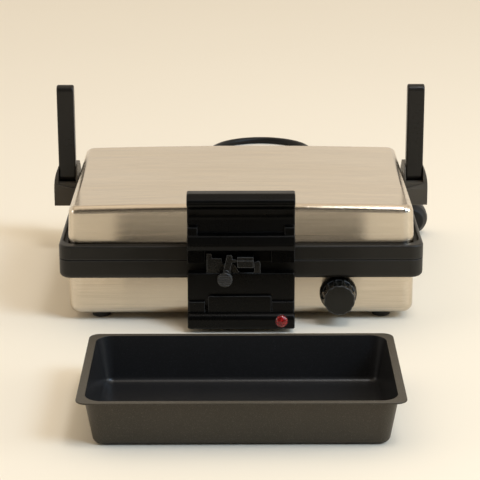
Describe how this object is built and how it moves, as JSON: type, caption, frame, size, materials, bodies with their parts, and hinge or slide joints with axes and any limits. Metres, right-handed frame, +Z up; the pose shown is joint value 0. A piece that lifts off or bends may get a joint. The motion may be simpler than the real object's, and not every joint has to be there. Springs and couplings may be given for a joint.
{
  "type": "electric multi grill",
  "caption": "Tabletop contact grill with hinged ribbed plates in brushed steel shells, a front latch block, folding rear handles, a mains lead and a loose baking pan.",
  "frame": {"origin": "on the table, at the middle of the box round the grill and its pan, without the lead and its plug", "axes": "+X to the right seen from the front, +Y from the pan to the back of the grill, +Z up"},
  "size_m": [0.4383, 1.0771, 0.197],
  "materials": {
    "steel_shell": "brushed satin",
    "bottom_steel": "plain",
    "frame_plastic": "satin",
    "handle_plastic": "satin",
    "housing_plastic": "fine grained",
    "side_handle_plastic": "satin",
    "knob_plastic": "satin",
    "foot_rubber": "matte",
    "grill_coating": "non-stick coated casting",
    "element_steel": "heat darkened",
    "reflector_metal": "bright",
    "spring_steel": "satin",
    "fastener_steel": "zinc plated",
    "arm_steel": "black painted",
    "latch_metal": "dark satin",
    "lens_red": "translucent gloss",
    "lamp_glass": "clear",
    "thermostat_metal": "pressed",
    "terminal_ceramic": "glazed",
    "fuse_sleeve": "woven sleeve",
    "cord_rubber": "satin",
    "plug_rubber": "satin",
    "pin_metal": "nickel plated",
    "pan_coating": "non-stick coated"
  },
  "bodies": {
    "base": {"base_shell": "steel_shell", "bottom_cover": "bottom_steel", "base_rim": "frame_plastic", "feet": "foot_rubber", "foot_screws": "fastener_steel", "lower_grill_plate": "grill_coating", "lower_heating_element": "element_steel", "lower_reflector": "reflector_metal", "lower_plate_clips": "spring_steel", "lower_handle_block": "handle_plastic", "pilot_lens": "lens_red", "pilot_lamp": "lamp_glass", "latch_bracket": "latch_metal", "latch_pivot_pin": "latch_metal", "thermostat": "thermostat_metal", "terminal_block": "terminal_ceramic", "thermal_fuse": "fuse_sleeve", "hinge_housing_left": "housing_plastic", "hinge_housing_right": "housing_plastic", "side_handle_pins": "fastener_steel", "lid_hinge_pins": "fastener_steel", "strain_relief": "cord_rubber", "mains_cord": "cord_rubber", "mains_plug": "plug_rubber", "plug_pins": "pin_metal"},
    "lid": {"lid_shell": "steel_shell", "lid_rim": "frame_plastic", "upper_grill_plate": "grill_coating", "upper_heating_element": "element_steel", "upper_reflector": "reflector_metal", "upper_plate_clips": "spring_steel", "upper_handle_block": "handle_plastic", "lid_keeper": "latch_metal", "lid_hinge_arms": "arm_steel", "hinge_arm_screws": "fastener_steel"},
    "knob": {"control_knob": "knob_plastic", "thermostat_shaft": "fastener_steel"},
    "latch_lever": {"latch_lever": "latch_metal"},
    "side_handle_left": {"side_handle_left": "side_handle_plastic"},
    "side_handle_right": {"side_handle_right": "side_handle_plastic"},
    "baking_pan": {"baking_pan": "pan_coating"}
  },
  "joints": [
    {"name": "lid_hinge", "type": "hinge", "parent": "base", "child": "lid", "pos_m": [0, 0.2975, 0.076], "axis": [-1, 0, 0], "range_deg": [0, 180]},
    {"name": "knob_turn", "type": "hinge", "parent": "base", "child": "knob", "pos_m": [0.101, 0.0095, 0.0301], "axis": [0, 1, 0], "range_deg": [0, 270]},
    {"name": "latch_swing", "type": "hinge", "parent": "base", "child": "latch_lever", "pos_m": [-0.015, -0.0105, 0.064], "axis": [0, 1, 0], "range_deg": [0, 15]},
    {"name": "side_handle_left_fold", "type": "hinge", "parent": "base", "child": "side_handle_left", "pos_m": [-0.2, 0.2665, 0.0917], "axis": [1, 0, 0], "range_deg": [0, 90]},
    {"name": "side_handle_right_fold", "type": "hinge", "parent": "base", "child": "side_handle_right", "pos_m": [0.2, 0.2665, 0.0917], "axis": [1, 0, 0], "range_deg": [0, 90]},
    {"name": "pan_lift", "type": "slide", "parent": "base", "child": "baking_pan", "axis": [0, 0, 1], "range_m": [0, 0.12]}
  ]
}
